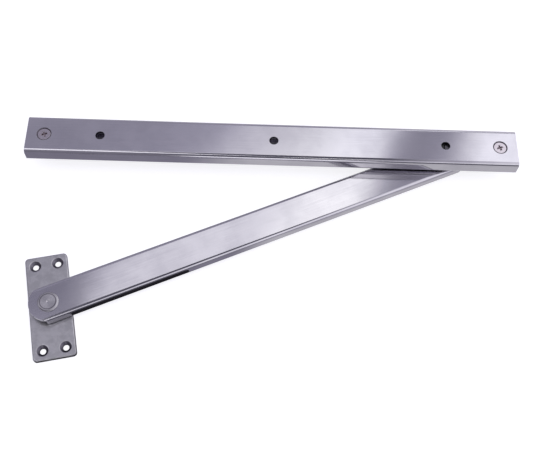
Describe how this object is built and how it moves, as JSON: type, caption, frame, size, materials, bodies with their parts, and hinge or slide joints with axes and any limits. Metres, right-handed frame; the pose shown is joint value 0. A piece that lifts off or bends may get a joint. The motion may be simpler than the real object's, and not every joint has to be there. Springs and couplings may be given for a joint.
{
  "type": "flap stay",
  "caption": "Sliding-channel stay: a folded steel arm pivots on a fixing plate and slides in a slotted track between end stops.",
  "frame": {"origin": "centre of the track's middle fixing hole, on the outer face of the web", "axes": "+X along the track away from the fixing plate's side, +Z out of the web, away from the arm; the arm is at 23.8 degrees to the track, as in the picture"},
  "size_m": [0.355, 0.1773, 0.024],
  "materials": {
    "track_stainless": "satin brushed",
    "arm_stainless": "satin brushed",
    "plate_stainless": "satin, tumbled edges",
    "rivet_stainless": "turned",
    "screw_stainless": "bright",
    "turned_stainless": "turned",
    "stop_zinc": "plain",
    "black_acetal": "moulded",
    "natural_nylon": "moulded",
    "black_rubber": "matt"
  },
  "bodies": {
    "track": {"track_channel": "track_stainless", "end_stop_left": "stop_zinc", "end_stop_right": "stop_zinc", "stop_screw_left": "screw_stainless", "stop_screw_right": "screw_stainless", "buffer_left": "black_rubber", "buffer_right": "black_rubber"},
    "slider": {"slider_shoe": "black_acetal", "slider_pin": "rivet_stainless", "slider_washer": "natural_nylon", "tail_washer": "turned_stainless"},
    "arm": {"arm": "arm_stainless"},
    "plate": {"fixing_plate": "plate_stainless", "pivot_rivet": "rivet_stainless", "pivot_spacer": "turned_stainless", "pivot_washer": "natural_nylon"}
  },
  "joints": [
    {"name": "track_slide", "type": "slide", "parent": "track", "child": "slider", "axis": [1, 0, 0], "range_m": [-0.2619, 0.0019]},
    {"name": "arm_swing", "type": "hinge", "parent": "slider", "child": "arm", "pos_m": [0.13, 0, -0.0138], "axis": [0, 0, 1], "continuous": true},
    {"name": "plate_turn", "type": "hinge", "parent": "arm", "child": "plate", "pos_m": [-0.14906, -0.12308, -0.0138], "axis": [0, 0, 1], "continuous": true}
  ]
}
